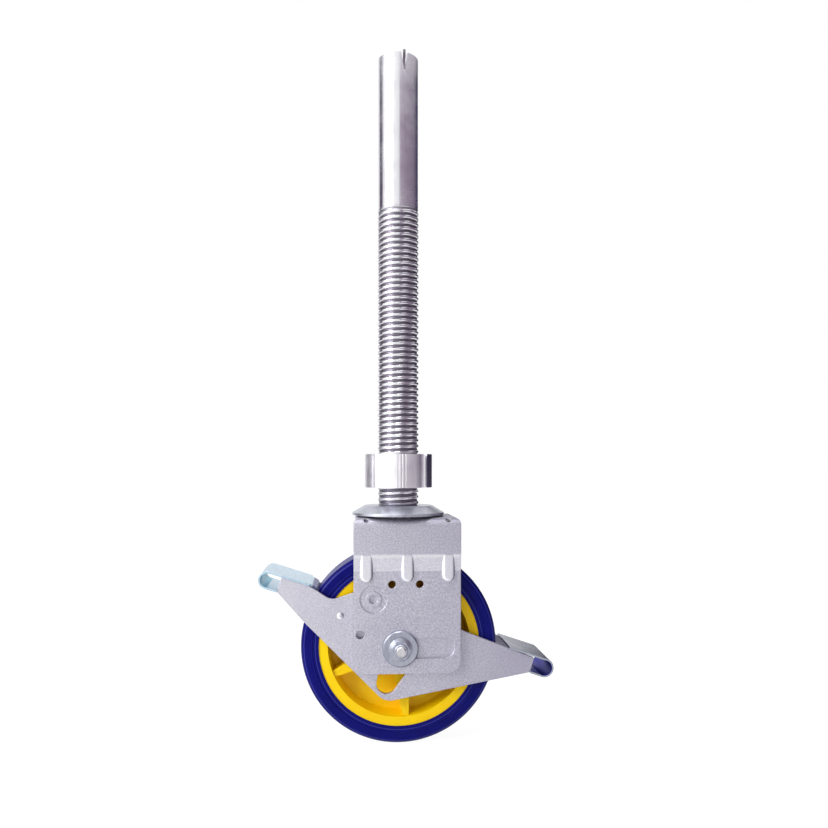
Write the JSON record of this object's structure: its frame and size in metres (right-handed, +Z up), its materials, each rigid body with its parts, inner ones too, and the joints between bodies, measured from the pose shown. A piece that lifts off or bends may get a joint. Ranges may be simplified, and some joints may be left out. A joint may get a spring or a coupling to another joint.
{
  "type": "scaffold castor",
  "caption": "Scaffold castor with a solid tyre on a moulded core, swivelling pressed fork, rocking pedal brake and a threaded stem with an adjusting nut.",
  "frame": {"origin": "on the stem's axis at the foot of its smooth shank, where the thread ends", "axes": "+Z up the stem, +Y along the wheel's axle away from the nut on its bolt, -X towards the brake pedal with the fork as pictured"},
  "size_m": [0.3036, 0.1032, 0.7214],
  "materials": {
    "zinc_plate": "bright zinc plate, slightly cloudy",
    "silver_sheet": "fine-grained matt silver coating on pressed sheet",
    "pedal_zinc": "blue-tinted zinc plate",
    "bright_steel": "machined steel",
    "spring_steel": "plain spring steel strip",
    "cast_aluminium": "satin sawn aluminium",
    "tyre": "deep blue moulded rubber, satin",
    "core": "bright yellow moulded plastic"
  },
  "bodies": {
    "stem": {"stem_tube": "zinc_plate", "retaining_clip": "spring_steel", "swivel_cap": "zinc_plate", "kingpin": "bright_steel", "lower_race_cup": "zinc_plate"},
    "adjuster": {"adjuster_nut": "cast_aluminium"},
    "fork": {"fork": "silver_sheet", "upper_race_balls": "bright_steel", "lower_race_balls": "bright_steel", "axle_bolt": "bright_steel", "axle_nut": "zinc_plate", "axle_washers": "zinc_plate", "axle_sleeve": "bright_steel", "near_pivot_rivet": "zinc_plate", "far_pivot_rivet": "zinc_plate", "near_inner_race": "bright_steel", "far_inner_race": "bright_steel"},
    "wheel": {"tyre": "tyre", "wheel_core": "core", "near_outer_race": "bright_steel", "far_outer_race": "bright_steel", "near_bearing_balls": "bright_steel", "far_bearing_balls": "bright_steel"},
    "brake": {"near_brake_plate": "silver_sheet", "far_brake_plate": "silver_sheet", "brake_pedal": "pedal_zinc", "release_pedal": "pedal_zinc"}
  },
  "joints": [
    {"name": "adjuster_travel", "type": "slide", "parent": "stem", "child": "adjuster", "axis": [0, 0, 1], "range_m": [-0.0185, 0.258]},
    {"name": "swivel", "type": "hinge", "parent": "stem", "child": "fork", "pos_m": [0, 0, -0.32594], "axis": [0, 0, 1], "continuous": true},
    {"name": "wheel_spin", "type": "hinge", "parent": "fork", "child": "wheel", "pos_m": [0, 0, -0.45884], "axis": [0, 1, 0], "continuous": true},
    {"name": "brake_rock", "type": "hinge", "parent": "fork", "child": "brake", "pos_m": [-0.0273, 0, -0.40844], "axis": [0, -1, 0], "range_deg": [0, 4.7]}
  ]
}
